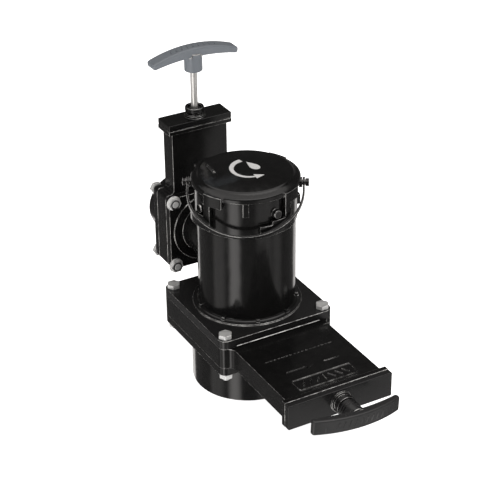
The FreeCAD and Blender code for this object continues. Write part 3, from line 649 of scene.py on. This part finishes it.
# Near-black rings round each thread: painted shade in the nut's hollow.
painted_thread_shade = metal("thread_shadow", *SHADE, 0.5, 0.4, 700, EVEN, 0.000008)
thread_shade_rings = bmesh.new()
for x in (nut_low.x + NUT_FLANGE, nut_high.x - NUT_FLANGE):
    for z in (nut_low.z + NUT_FLANGE, nut_high.z - NUT_FLANGE):
        ring(thread_shade_rings, (x, nut_low.y, z), OUTWARD, ridge(SHADED_RADIUS, 0, 0.5, 1.1), 24)
finish_piece(thread_shade_rings, "small_nut_painted_shade", "housing", "zinc_steel", painted_thread_shade, ROUNDED)
print("nuts grooved")

# %% [markdown]
# ## Studio
# The fitting stands on a plain white table. Black plastic shows little of its own colour: the
# shapes on it are reflections of tall soft panels. Lamps would need many objects, so the world
# holds the panels and a ceiling as a pattern of direction.

# %% Table
TABLE_HALF, TABLE_DROP = 3, 0.0004
table_mesh = bpy.data.meshes.new("table")
corners = [(-TABLE_HALF, -TABLE_HALF, 0), (TABLE_HALF, -TABLE_HALF, 0)]
corners += [(TABLE_HALF, TABLE_HALF, 0), (-TABLE_HALF, TABLE_HALF, 0)]
table_mesh.from_pydata(corners, [], [(0, 1, 2, 3)])
table = bpy.data.objects.new("table", table_mesh)
bpy.context.scene.collection.objects.link(table)
table.location.z = -TABLE_DROP
table_finish = Finish("white_table")
table_grain = table_finish.noise(30, 2, 0.5)
table_white = table_finish.blend(table_grain, (0.93, 0.93, 0.93, 1), (0.97, 0.97, 0.97, 1))
table_glow = {"Emission_Color": (1, 1, 1, 1), "Emission_Strength": 1.0}
table_mesh.materials.append(table_finish.set(Base_Color=table_white, Roughness=0.8, **table_glow))
table.visible_glossy = False
print("table laid")

# %% Camera
AZIMUTH, HEIGHT, ROLL = (math.radians(angle) for angle in (-29.04, 29.61, -0.62))
DISTANCE, LENS, SENSOR = 1.4461, 115.15, 36
TARGET = Vector((2.76, -1.53, 129.71)) * MM
level = Vector((math.sin(AZIMUTH), -math.cos(AZIMUTH), 0))
back = level * math.cos(HEIGHT) + Vector((0, 0, math.sin(HEIGHT)))
right = Vector((math.cos(AZIMUTH), math.sin(AZIMUTH), 0))
up = back.cross(right)
side = right * math.cos(ROLL) + up * math.sin(ROLL)
top = up * math.cos(ROLL) - right * math.sin(ROLL)
camera = bpy.data.objects.new("camera", bpy.data.cameras.new("camera"))
camera.data.lens = LENS
camera.data.sensor_width = SENSOR
turn = Matrix((side, top, back)).transposed().to_4x4()
camera.matrix_world = Matrix.Translation(TARGET + back * DISTANCE) @ turn
bpy.context.scene.collection.objects.link(camera)
bpy.context.scene.camera = camera
print("camera set", DISTANCE, "m away")

# %% World
world = bpy.data.worlds.new("studio")
bpy.context.scene.world = world
world.use_nodes = True
sky = world.node_tree


def sky_node(kind, settings, values, output=0):
    """A node of the world; values may be numbers or sockets."""
    made = sky.nodes.new(kind)
    for name, setting in settings.items():
        setattr(made, name, setting)
    for name, value in values.items():
        if isinstance(value, bpy.types.NodeSocket):
            sky.links.new(value, made.inputs[name])
        else:
            made.inputs[name].default_value = value
    return made.outputs[output]


def sky_math(operation, first, second=0.0):
    return sky_node("ShaderNodeMath", {"operation": operation}, {0: first, 1: second})


def rise(value, low, high):
    """0 below low, 1 above high, with a soft step between."""
    settings = {"interpolation_type": "SMOOTHSTEP"}
    limits = {"Value": value, "From Min": low, "From Max": high}
    return sky_node("ShaderNodeMapRange", settings, limits)


direction = sky_node("ShaderNodeTexCoord", {}, {}, "Generated")
split = sky_node("ShaderNodeSeparateXYZ", {}, {"Vector": direction}, "X").node
east, height = split.outputs["X"], split.outputs["Z"]
south = sky_math("MULTIPLY", split.outputs["Y"], -1.0)
azimuth = sky_math("DEGREES", sky_math("ARCTAN2", east, south))

# Each upright panel: middle azimuth, half width and softness in degrees, brightness.
PANELS = (
    (-57, 10, 8, 1.95),
    (-96, 13, 9, 0.5),
    (12, 16, 9, 0.42),
    (46, 9, 10, 0.32),
)
# Low panels behind the fitting light only upright walls, seen at a shallow angle.
LOW_PANELS = (
    (122, 8, 7, 1.0),
    (177, 8, 6, 1.4),
)


FAINT = 0.045


def panel_light(panels, base):
    """Brightness of a set of upright panels at an azimuth."""
    total = base
    for middle, half, soft, bright in panels:
        around = sky_math("WRAP", sky_math("SUBTRACT", azimuth, float(middle)), 180.0)
        around.node.inputs[2].default_value = -180.0
        edge = rise(sky_math("ABSOLUTE", around), float(half + soft), float(half - soft / 2))
        total = sky_math("ADD", sky_math("MULTIPLY", edge, bright), total)
    return total


cloud = {"Vector": direction, "Scale": 5.0, "Detail": 3.0, "Roughness": 0.6}
mottle = sky_node("ShaderNodeTexNoise", {}, cloud, "Fac")
uneven = sky_math("ADD", sky_math("MULTIPLY", mottle, 0.9), 0.55)
upright = sky_math("MULTIPLY", panel_light(PANELS, 0.07), rise(height, 0.3, 0.1))
behind = sky_math("MULTIPLY", panel_light(LOW_PANELS, 0.0), rise(height, -0.12, -0.3))
panels = sky_math("MULTIPLY", sky_math("ADD", upright, behind), uneven)
panels = sky_math("ADD", panels, FAINT)
front_lamp = sky_math("ADD", sky_math("MULTIPLY", rise(south, -0.1, 0.35), 1.0), 1.0)
ceiling = sky_math("MULTIPLY", rise(height, 0.6, 0.78), front_lamp)
light = sky_math("ADD", panels, ceiling)

background = sky.nodes["Background"]
background.inputs["Color"].default_value = (1, 0.97, 0.95, 1)
sky.links.new(light, background.inputs["Strength"])
clear = sky_node("ShaderNodeBackground", {}, {"Color": (1, 1, 1, 1), "Strength": 1.0})
seen = sky_node("ShaderNodeLightPath", {}, {}, "Is Camera Ray")
mixed = sky_node("ShaderNodeMixShader", {}, {0: seen, 1: background.outputs[0], 2: clear})
sky.links.new(mixed, sky.nodes["World Output"].inputs["Surface"])
bpy.context.scene.view_settings.view_transform = "Standard"
print("studio lit")
